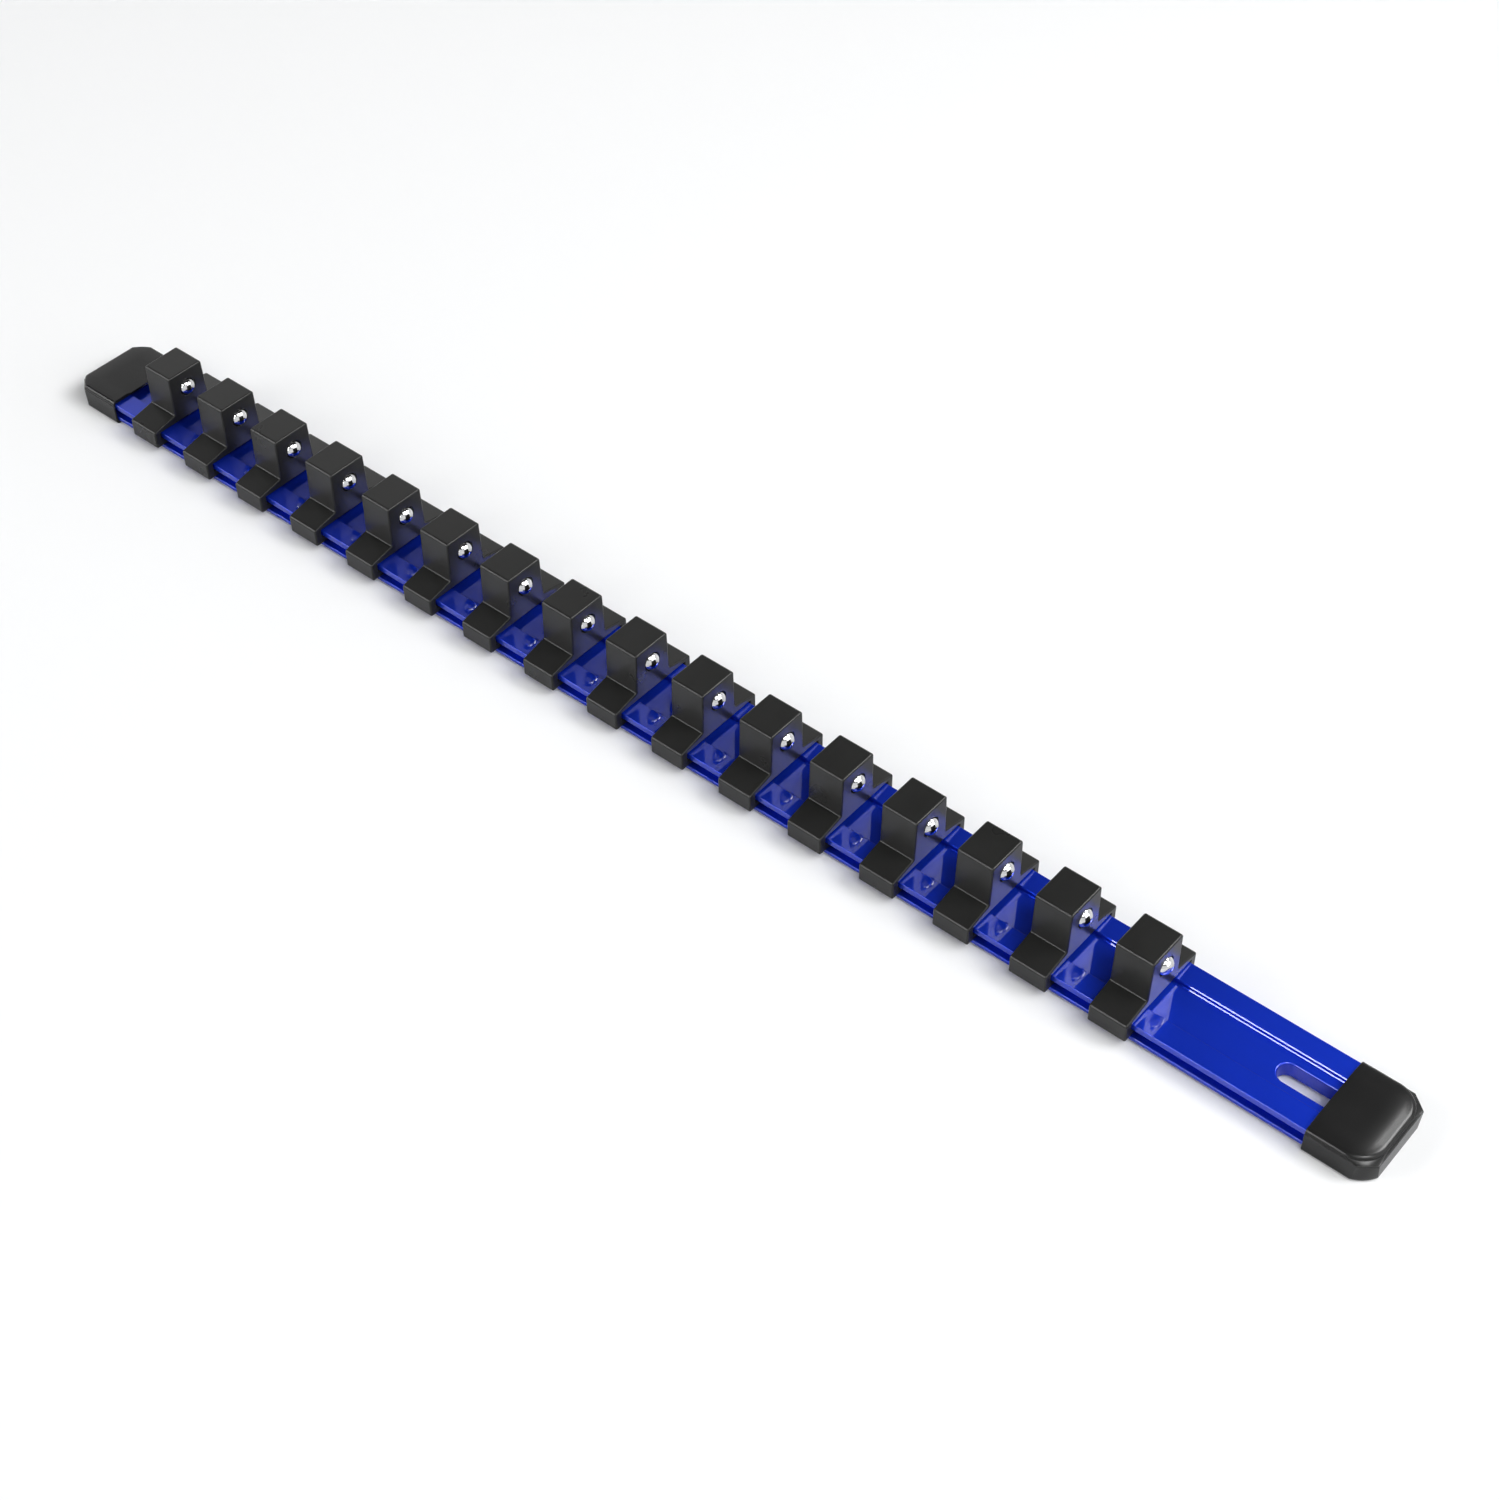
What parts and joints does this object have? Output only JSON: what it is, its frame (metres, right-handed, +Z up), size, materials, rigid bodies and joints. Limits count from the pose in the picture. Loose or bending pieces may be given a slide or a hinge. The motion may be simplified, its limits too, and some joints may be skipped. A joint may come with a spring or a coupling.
{
  "type": "socket rail",
  "caption": "Socket holder rail: a grooved blue aluminium bar with a slotted end, black end caps, and sliding black clips that each hold a square-drive socket with a sprung ball.",
  "frame": {"origin": "under the middle of the rail, on the surface that the end caps stand on", "axes": "+X along the rail to the slotted end, the side that the balls look to; +Y from front to back; +Z up, out of the posts' tops"},
  "size_m": [0.4466, 0.0296, 0.023],
  "materials": {
    "anodised_rail": "polished and blue anodised",
    "end_caps": "smooth satin black",
    "clips": "fine-grained charcoal black",
    "balls": "polished steel",
    "springs": "drawn spring wire"
  },
  "bodies": {
    "rail": {"rail": "anodised_rail", "end_cap_left": "end_caps", "end_cap_right": "end_caps"},
    "clip_01": {"clip_01": "clips", "spring_01": "springs"},
    "ball_01": {"ball_01": "balls"},
    "clip_02": {"clip_02": "clips", "spring_02": "springs"},
    "ball_02": {"ball_02": "balls"},
    "clip_03": {"clip_03": "clips", "spring_03": "springs"},
    "ball_03": {"ball_03": "balls"},
    "clip_04": {"clip_04": "clips", "spring_04": "springs"},
    "ball_04": {"ball_04": "balls"},
    "clip_05": {"clip_05": "clips", "spring_05": "springs"},
    "ball_05": {"ball_05": "balls"},
    "clip_06": {"clip_06": "clips", "spring_06": "springs"},
    "ball_06": {"ball_06": "balls"},
    "clip_07": {"clip_07": "clips", "spring_07": "springs"},
    "ball_07": {"ball_07": "balls"},
    "clip_08": {"clip_08": "clips", "spring_08": "springs"},
    "ball_08": {"ball_08": "balls"},
    "clip_09": {"clip_09": "clips", "spring_09": "springs"},
    "ball_09": {"ball_09": "balls"},
    "clip_10": {"clip_10": "clips", "spring_10": "springs"},
    "ball_10": {"ball_10": "balls"},
    "clip_11": {"clip_11": "clips", "spring_11": "springs"},
    "ball_11": {"ball_11": "balls"},
    "clip_12": {"clip_12": "clips", "spring_12": "springs"},
    "ball_12": {"ball_12": "balls"},
    "clip_13": {"clip_13": "clips", "spring_13": "springs"},
    "ball_13": {"ball_13": "balls"},
    "clip_14": {"clip_14": "clips", "spring_14": "springs"},
    "ball_14": {"ball_14": "balls"},
    "clip_15": {"clip_15": "clips", "spring_15": "springs"},
    "ball_15": {"ball_15": "balls"},
    "clip_16": {"clip_16": "clips", "spring_16": "springs"},
    "ball_16": {"ball_16": "balls"}
  },
  "joints": [
    {"name": "clip_slide_01", "type": "slide", "parent": "rail", "child": "clip_01", "axis": [1, 0, 0], "range_m": [-0.0101, 0.0102]},
    {"name": "ball_press_01", "type": "slide", "parent": "clip_01", "child": "ball_01", "axis": [1, 0, 0], "range_m": [-0.0014, 0], "stiffness_N_per_m": 800, "springref_m": 0.001, "deforming": ["spring_01"]},
    {"name": "clip_slide_02", "type": "slide", "parent": "rail", "child": "clip_02", "axis": [1, 0, 0], "range_m": [-0.0102, 0.0102]},
    {"name": "ball_press_02", "type": "slide", "parent": "clip_02", "child": "ball_02", "axis": [1, 0, 0], "range_m": [-0.0014, 0], "stiffness_N_per_m": 800, "springref_m": 0.001, "deforming": ["spring_02"]},
    {"name": "clip_slide_03", "type": "slide", "parent": "rail", "child": "clip_03", "axis": [1, 0, 0], "range_m": [-0.0102, 0.0102]},
    {"name": "ball_press_03", "type": "slide", "parent": "clip_03", "child": "ball_03", "axis": [1, 0, 0], "range_m": [-0.0014, 0], "stiffness_N_per_m": 800, "springref_m": 0.001, "deforming": ["spring_03"]},
    {"name": "clip_slide_04", "type": "slide", "parent": "rail", "child": "clip_04", "axis": [1, 0, 0], "range_m": [-0.0102, 0.0102]},
    {"name": "ball_press_04", "type": "slide", "parent": "clip_04", "child": "ball_04", "axis": [1, 0, 0], "range_m": [-0.0014, 0], "stiffness_N_per_m": 800, "springref_m": 0.001, "deforming": ["spring_04"]},
    {"name": "clip_slide_05", "type": "slide", "parent": "rail", "child": "clip_05", "axis": [1, 0, 0], "range_m": [-0.0102, 0.0102]},
    {"name": "ball_press_05", "type": "slide", "parent": "clip_05", "child": "ball_05", "axis": [1, 0, 0], "range_m": [-0.0014, 0], "stiffness_N_per_m": 800, "springref_m": 0.001, "deforming": ["spring_05"]},
    {"name": "clip_slide_06", "type": "slide", "parent": "rail", "child": "clip_06", "axis": [1, 0, 0], "range_m": [-0.0102, 0.0102]},
    {"name": "ball_press_06", "type": "slide", "parent": "clip_06", "child": "ball_06", "axis": [1, 0, 0], "range_m": [-0.0014, 0], "stiffness_N_per_m": 800, "springref_m": 0.001, "deforming": ["spring_06"]},
    {"name": "clip_slide_07", "type": "slide", "parent": "rail", "child": "clip_07", "axis": [1, 0, 0], "range_m": [-0.0102, 0.0102]},
    {"name": "ball_press_07", "type": "slide", "parent": "clip_07", "child": "ball_07", "axis": [1, 0, 0], "range_m": [-0.0014, 0], "stiffness_N_per_m": 800, "springref_m": 0.001, "deforming": ["spring_07"]},
    {"name": "clip_slide_08", "type": "slide", "parent": "rail", "child": "clip_08", "axis": [1, 0, 0], "range_m": [-0.0102, 0.0102]},
    {"name": "ball_press_08", "type": "slide", "parent": "clip_08", "child": "ball_08", "axis": [1, 0, 0], "range_m": [-0.0014, 0], "stiffness_N_per_m": 800, "springref_m": 0.001, "deforming": ["spring_08"]},
    {"name": "clip_slide_09", "type": "slide", "parent": "rail", "child": "clip_09", "axis": [1, 0, 0], "range_m": [-0.0102, 0.0102]},
    {"name": "ball_press_09", "type": "slide", "parent": "clip_09", "child": "ball_09", "axis": [1, 0, 0], "range_m": [-0.0014, 0], "stiffness_N_per_m": 800, "springref_m": 0.001, "deforming": ["spring_09"]},
    {"name": "clip_slide_10", "type": "slide", "parent": "rail", "child": "clip_10", "axis": [1, 0, 0], "range_m": [-0.0102, 0.0102]},
    {"name": "ball_press_10", "type": "slide", "parent": "clip_10", "child": "ball_10", "axis": [1, 0, 0], "range_m": [-0.0014, 0], "stiffness_N_per_m": 800, "springref_m": 0.001, "deforming": ["spring_10"]},
    {"name": "clip_slide_11", "type": "slide", "parent": "rail", "child": "clip_11", "axis": [1, 0, 0], "range_m": [-0.0102, 0.0102]},
    {"name": "ball_press_11", "type": "slide", "parent": "clip_11", "child": "ball_11", "axis": [1, 0, 0], "range_m": [-0.0014, 0], "stiffness_N_per_m": 800, "springref_m": 0.001, "deforming": ["spring_11"]},
    {"name": "clip_slide_12", "type": "slide", "parent": "rail", "child": "clip_12", "axis": [1, 0, 0], "range_m": [-0.0102, 0.0102]},
    {"name": "ball_press_12", "type": "slide", "parent": "clip_12", "child": "ball_12", "axis": [1, 0, 0], "range_m": [-0.0014, 0], "stiffness_N_per_m": 800, "springref_m": 0.001, "deforming": ["spring_12"]},
    {"name": "clip_slide_13", "type": "slide", "parent": "rail", "child": "clip_13", "axis": [1, 0, 0], "range_m": [-0.0102, 0.0102]},
    {"name": "ball_press_13", "type": "slide", "parent": "clip_13", "child": "ball_13", "axis": [1, 0, 0], "range_m": [-0.0014, 0], "stiffness_N_per_m": 800, "springref_m": 0.001, "deforming": ["spring_13"]},
    {"name": "clip_slide_14", "type": "slide", "parent": "rail", "child": "clip_14", "axis": [1, 0, 0], "range_m": [-0.0102, 0.0102]},
    {"name": "ball_press_14", "type": "slide", "parent": "clip_14", "child": "ball_14", "axis": [1, 0, 0], "range_m": [-0.0014, 0], "stiffness_N_per_m": 800, "springref_m": 0.001, "deforming": ["spring_14"]},
    {"name": "clip_slide_15", "type": "slide", "parent": "rail", "child": "clip_15", "axis": [1, 0, 0], "range_m": [-0.0102, 0.0102]},
    {"name": "ball_press_15", "type": "slide", "parent": "clip_15", "child": "ball_15", "axis": [1, 0, 0], "range_m": [-0.0014, 0], "stiffness_N_per_m": 800, "springref_m": 0.001, "deforming": ["spring_15"]},
    {"name": "clip_slide_16", "type": "slide", "parent": "rail", "child": "clip_16", "axis": [1, 0, 0], "range_m": [-0.0102, 0.0464]},
    {"name": "ball_press_16", "type": "slide", "parent": "clip_16", "child": "ball_16", "axis": [1, 0, 0], "range_m": [-0.0014, 0], "stiffness_N_per_m": 800, "springref_m": 0.001, "deforming": ["spring_16"]}
  ]
}
